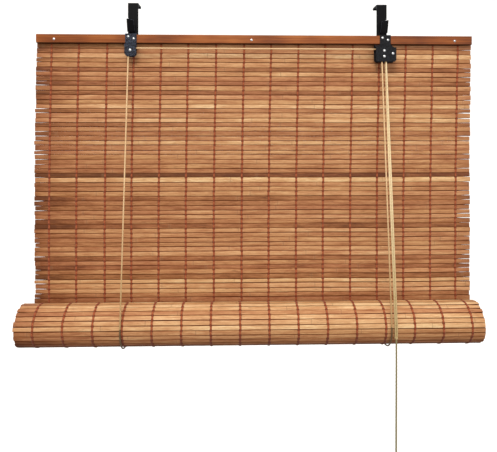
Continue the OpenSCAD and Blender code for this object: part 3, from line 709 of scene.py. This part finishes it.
strands, leads = {}, {}
for name, line in strand_points.items():
    strands[name] = tube(name + "_strand", [(line, cord_r * 1.06)], nylon_cord, "head", "cord")
    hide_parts(name)
    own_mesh(strands[name])
for name, line in lead_points.items():
    leads[name] = tube(name, [(line, cord_r)], nylon_cord, None, "cord", step=0.6)
    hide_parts("pull_leads")
    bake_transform(leads[name], "cradle", "pull_end", start=[c * mm for c in lead_top],
             end=[c * mm for c in lead_foot])
upper_knot = knot("knot_of_two_cords", knot_at, 3.4)
lower_knot = knot("knot_below_knob", knob_at - Vector((0, 0, knob_h + 3.1)), 3.2)
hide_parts("cord_knots")
# painted shade: the tail below the roll uses the darker cord
tail = tube("pull_tail_cord", [(tail_points, cord_r * 1.15)], shaded_tail_cord, "pull_end", "cord")
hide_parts("pull_tail")
print("strands", [round(length_of(p)) for p in strand_points.values()], "tail",
      round(length_of(tail_points)))

# %% [markdown]
# ## Knob
# A turned wooden bell on the cord's end, stained like the rail. It is a turned profile, with a bead at
# the neck and two cut lines round its belly.


# %% Knob and stained wood
def stained_wood(name, underside_shade_colour, dark, mid, pale, long_axis, gloss=0.3):
    """Stained and lacquered wood or cane, with its grain along one axis of the frame."""
    add, finish = material(name)
    at = add("TexCoord", {}, "Object")
    # pores 0.6 mm wide and 26 mm long, bands 2.4 mm wide and 200 mm long, clouds of stain 110 mm wide
    fine, wide = [per(0.6)] * 3, [per(2.4)] * 3
    fine[long_axis], wide[long_axis] = per(26), per(200)
    pore_at = add("Mapping", {"Vector": at, "Scale": fine})
    pores = add("TexNoise", {"Vector": pore_at, "Scale": 1, "Detail": 3, "Roughness": 0.6})
    band_at = add("Mapping", {"Vector": at, "Scale": wide})
    bands = add("TexNoise", {"Vector": band_at, "Scale": 1, "Detail": 4, "Roughness": 0.6})
    clouds = add("TexNoise", {"Vector": at, "Scale": per(110), "Detail": 2, "Roughness": 0.5})
    shade = add("Math", {0: pores, 1: 0.35}, operation="MULTIPLY")
    shade = add("Math", {0: bands, 1: 0.4, 2: shade}, operation="MULTIPLY_ADD")
    shade = add("Math", {0: clouds, 1: 0.8, 2: shade}, operation="MULTIPLY_ADD")
    colour = add("ValToRGB", {0: shade}, stops=[(0.58, dark), (0.76, mid), (0.95, pale)])
    # painted shade: faces that look down are darker, mixed towards the first colour given
    upright = add("SeparateXYZ", {0: add("NewGeometry", {}, "Normal")}, "Z")
    painted_underside_shade = add("MapRange", {"Value": upright, "From Min": -0.4, "From Max": -1.067})
    colour = add("Mix", {0: painted_underside_shade, 6: colour, 7: ink(underside_shade_colour)}, 2, data_type="RGBA")
    rough = add("Math", {0: bands, 1: 0.2, 2: 0.3}, operation="MULTIPLY_ADD")
    relief = add("Bump", {"Height": pores, "Distance": 0.0001, "Strength": 0.6})
    return finish(Base_Color=colour, Roughness=rough, Normal=relief, Coat_Weight=gloss,
                  Coat_Roughness=0.22, Specular_IOR_Level=0.25)


stained_lath = stained_wood("stained_lacquered_bamboo_lath", "#2c1203", "#55250d", "#8b4819", "#b36a31",
                            0, 0.06)
knob_wood = stained_wood("stained_turned_wood", "#4c210c", "#733616", "#95522a", "#b26d3c", 2, 0.5)
bell = [(1.5, 0.4), (4.6, 0), (6.2, 0.5), (7.6, 1.8), (8.5, 3.8), (9, 6.2), (9, 8.2), (8.7, 8.6), (9, 9),
        (9, 11.6), (8.65, 12), (8.9, 12.4), (8.6, 14.6), (7.9, 17.4), (6.9, 20.4), (5.9, 23.2),
        (4.9, 25.6), (4.0, 27.4), (3.7, 28.2), (4.3, 28.8), (4.7, 29.7), (4.5, 30.8), (3.8, 31.6),
        (1.5, 32)]
points, faces, around = [], [], 48
bell_rings = [[knob_at + Vector((r * math.cos(2 * math.pi * n / around),
                                 r * math.sin(2 * math.pi * n / around), z - knob_h))
               for n in range(around)] for r, z in bell]
add_rings(points, faces, bell_rings)
knob = piece("turned_pull_knob", points, faces, knob_wood, sharp=35, body="pull_end", slot="knob_wood")
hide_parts("pull_knob")
print("knob", knob_h, "mm high,", 2 * max(r for r, z in bell), "mm wide")

# %% [markdown]
# ## Free cords
# The two strands go from the lock to the knot, with their last stretch and the knot on them. The tail
# goes from the knot to the knob.

# %% Routes of the free cords
for name, line in strand_points.items():
    route = smooth_line(line, 4)
    [c * mm for c in line[0]]
    length_of(route) * mm
    [[c * mm for c in p] for p in route]
route = smooth_line(tail_points, 4)
[c * mm for c in tail_points[0]]
length_of(route) * mm
[[c * mm for c in p] for p in route]
print("declared 3 cords, the tail is", round(length_of(route)), "mm long")

# %% [markdown]
# ## Steel and plastic parts
# The hangers are pressed steel with a smooth black finish; their edges are painted pale, as worn paint
# and as a painted highlight where they catch the light. The plates of pulley and lock are thinner, with
# a blue-black lacquer that shows specks. The nails and rivets are bright domed steel, the roller and
# pawl zinc, and the sheaves pale moulded plastic.


# %% Finishes of the hardware
def painted_steel(name, base, speck, edge, rough, speck_share, apart, gloss):
    """Lacquered steel: specks of a second tone, orange peel, and edges painted paler, as worn paint and as
    a painted highlight where they catch the light.
    """
    add, finish = material(name)
    at = add("TexCoord", {}, "Object")
    # specks are drawn coarser than real, so that they show; orange peel 1.2 mm wide, dust 7 mm
    cells = add("TexVoronoi", {"Vector": at, "Scale": per(apart)})
    some = add("Math", {0: cells, 1: speck_share}, operation="LESS_THAN")
    peel = add("TexNoise", {"Vector": at, "Scale": per(1.2), "Detail": 2, "Roughness": 0.5})
    dust = add("TexNoise", {"Vector": at, "Scale": per(7), "Detail": 4, "Roughness": 0.65})
    some = add("Math", {0: some, 1: dust}, operation="MULTIPLY")
    colour = add("Mix", {0: some, 6: ink(base), 7: ink(speck)}, 2, data_type="RGBA")
    # where a rounded normal leaves the true one there is an edge
    bevel = add("Bevel", {"Radius": 0.6 * mm}, samples=6)
    flat = add("NewGeometry", {}, "Normal")
    turned = add("VectorMath", {0: bevel, 1: flat}, "Value", operation="DOT_PRODUCT")
    # pale edges: worn paint, and a painted highlight where the edges catch the light
    worn_and_lit_edges = add("MapRange", {"Value": turned, "From Min": 0.985, "From Max": 0.818})
    patchy = add("Math", {0: dust, 1: 1.1}, operation="MULTIPLY", use_clamp=True)
    worn_and_lit_edges = add("Math", {0: worn_and_lit_edges, 1: patchy}, operation="MULTIPLY")
    colour = add("Mix", {0: worn_and_lit_edges, 6: colour, 7: ink(edge)}, 2, data_type="RGBA")
    rough = add("Math", {0: dust, 1: 0.22, 2: rough}, operation="MULTIPLY_ADD")
    relief = add("Bump", {"Height": peel, "Distance": 0.00006, "Strength": 0.5, "Normal": bevel})
    return finish(Base_Color=colour, Roughness=rough, Normal=relief, Specular_IOR_Level=gloss)


def bare_metal(name, tone, dull, rough, mark=(1.1, 1.1, 1.1)):
    """Drawn or plated metal with fine marks of that size in millimetres, on clouds 6 mm wide."""
    add, finish = material(name)
    at = add("TexCoord", {}, "Object")
    mark_at = add("Mapping", {"Vector": at, "Scale": [per(size) for size in mark]})
    marks = add("TexNoise", {"Vector": mark_at, "Scale": 1, "Detail": 3, "Roughness": 0.6})
    clouds = add("TexNoise", {"Vector": at, "Scale": per(6), "Detail": 3, "Roughness": 0.6})
    colour = add("ValToRGB", {0: clouds}, stops=[(0.35, dull), (0.6, tone)])
    rough = add("Math", {0: clouds, 1: 0.25, 2: rough}, operation="MULTIPLY_ADD")
    relief = add("Bump", {"Height": marks, "Distance": 0.00003, "Strength": 0.5})
    return finish(Base_Color=colour, Roughness=rough, Metallic=1.0, Normal=relief)


def moulded_plastic(name, base, worn):
    """Moulded plastic with a grain of 0.7 mm, worn darker in clouds 8 mm wide."""
    add, finish = material(name)
    at = add("TexCoord", {}, "Object")
    fine = add("TexNoise", {"Vector": at, "Scale": per(0.7), "Detail": 2, "Roughness": 0.5})
    clouds = add("TexNoise", {"Vector": at, "Scale": per(8), "Detail": 3, "Roughness": 0.6})
    colour = add("ValToRGB", {0: clouds}, stops=[(0.35, worn), (0.65, base)])
    relief = add("Bump", {"Height": fine, "Distance": 0.00004, "Strength": 0.4})
    return finish(Base_Color=colour, Roughness=0.42, Normal=relief, Subsurface_Weight=0.05)


finishes = {
    "hanger_left hanger_right": painted_steel(
        "black_lacquered_steel", "#060609", "#0e0f14", "#6a7086", 0.42, 0.12, 1.1, 0.12),
    "pulley_back_plate pulley_front_plate": painted_steel(
        "blue_black_speckled_steel", "#11131c", "#5d6880", "#38415a", 0.4, 0.4, 1.5, 0.22),
    "lock_back_plate lock_front_plate": painted_steel(
        "black_speckled_steel", "#08080b", "#353943", "#24252c", 0.42, 0.36, 1.5, 0.18),
    "rail_nails pulley_nails lock_nails pulley_rivet lock_rivets": bare_metal(
        "bright_nail_steel", "#f4f5f6", "#d5d7da", 0.18),
    "hanger_screws lock_roller lock_pawl": bare_metal(
        "zinc_plated_steel", "#c9cccb", "#a3a6a5", 0.34, (0.4, 17, 1.4)),
    "pulley_sheave lock_sheave": moulded_plastic("pale_acetal_plastic", "#ddd7c6", "#c9c1ab"),
    "front_lath back_lath core_rod": stained_lath,
}
for names, used in finishes.items():
    for name in names.split():
        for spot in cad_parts[name].material_slots:
            spot.material = used
print("finished nodes", sum(len(names.split()) for names in finishes))

# %% [markdown]
# ## Studio
# The blind hangs well in front of a pale floor and wall that join in a wide curve. They are so bright
# that they burn out to white. A soft box above and to the left lights the top of the roll most, and
# the surround is pale above and dim below.


# %% Studio
def sweep(near, far, height, floor_z, bend, width):
    """A floor that curves up into a wall behind the blind, in metres."""
    line = [(near, floor_z), (far - bend, floor_z)]
    line += [(far - bend + bend * math.sin(a), floor_z + bend * (1 - math.cos(a)))
             for a in (math.pi / 2 * n / 16 for n in range(1, 17))]
    line.append((far, height))
    verts = [(x, y, z) for y, z in line for x in (-width, width)]
    faces = [(2 * i, 2 * i + 1, 2 * i + 3, 2 * i + 2) for i in range(len(line) - 1)]
    mesh = bpy.data.meshes.new("studio_sweep")
    mesh.from_pydata(verts, [], faces)
    mesh.shade_smooth()
    thing = bpy.data.objects.new("studio_sweep", mesh)
    bpy.context.scene.collection.objects.link(thing)
    add, finish = material("studio_paper")
    # card with a tooth 30 mm wide, coarser than real, lit a little from within so that it burns out
    at = add("TexCoord", {}, "Object")
    tooth = add("TexNoise", {"Vector": at, "Scale": per(30), "Detail": 3, "Roughness": 0.5})
    white = add("ValToRGB", {0: tooth}, stops=[(0.3, "#f4f4f3"), (0.7, "#fafaf9")])
    mesh.materials.append(finish(
        Base_Color=white, Roughness=0.9, Emission_Color=ink("#ffffff"), Emission_Strength=0.3))


def soft_box(name, at, aim, size, power, colour=(1, 1, 1)):
    light = bpy.data.lights.new(name, "AREA")
    light.shape, light.size, light.size_y = "RECTANGLE", size[0], size[1]
    light.energy, light.color = power, colour
    thing = bpy.data.objects.new(name, light)
    thing.location = at
    thing.rotation_euler = (Vector(aim) - Vector(at)).to_track_quat("-Z", "Y").to_euler()
    bpy.context.scene.collection.objects.link(thing)


sweep(near=0.55, far=2.2, height=3.0, floor_z=-1.3, bend=0.8, width=4.0)
soft_box("key_above_left", (-0.45, -2.2, 1.7), (0.0, -0.05, -0.45), (1.3, 0.8), 54, (1.0, 0.965, 0.92))
soft_box("fill_front", (0.9, -2.4, -0.3), (0, 0, -0.45), (1.8, 1.2), 14)
world = bpy.data.worlds.new("studio_surround")
bpy.context.scene.world = world
world.use_nodes = True
sky = world.node_tree
up = sky.nodes.new("ShaderNodeSeparateXYZ")
span = sky.nodes.new("ShaderNodeMapRange")
for socket, value in (("From Min", -0.6), ("From Max", 0.9), ("To Min", 0.32), ("To Max", 0.84)):
    span.inputs[socket].default_value = value
sky.links.new(sky.nodes.new("ShaderNodeTexCoord").outputs["Generated"], up.inputs[0])
sky.links.new(up.outputs["Z"], span.inputs["Value"])
sky.links.new(span.outputs["Result"], sky.nodes["Background"].inputs["Strength"])
sky.nodes["Background"].inputs["Color"].default_value = (1.0, 0.985, 0.96, 1)
bpy.context.scene.view_settings.view_transform = "Standard"
bpy.context.scene.view_settings.look = "None"
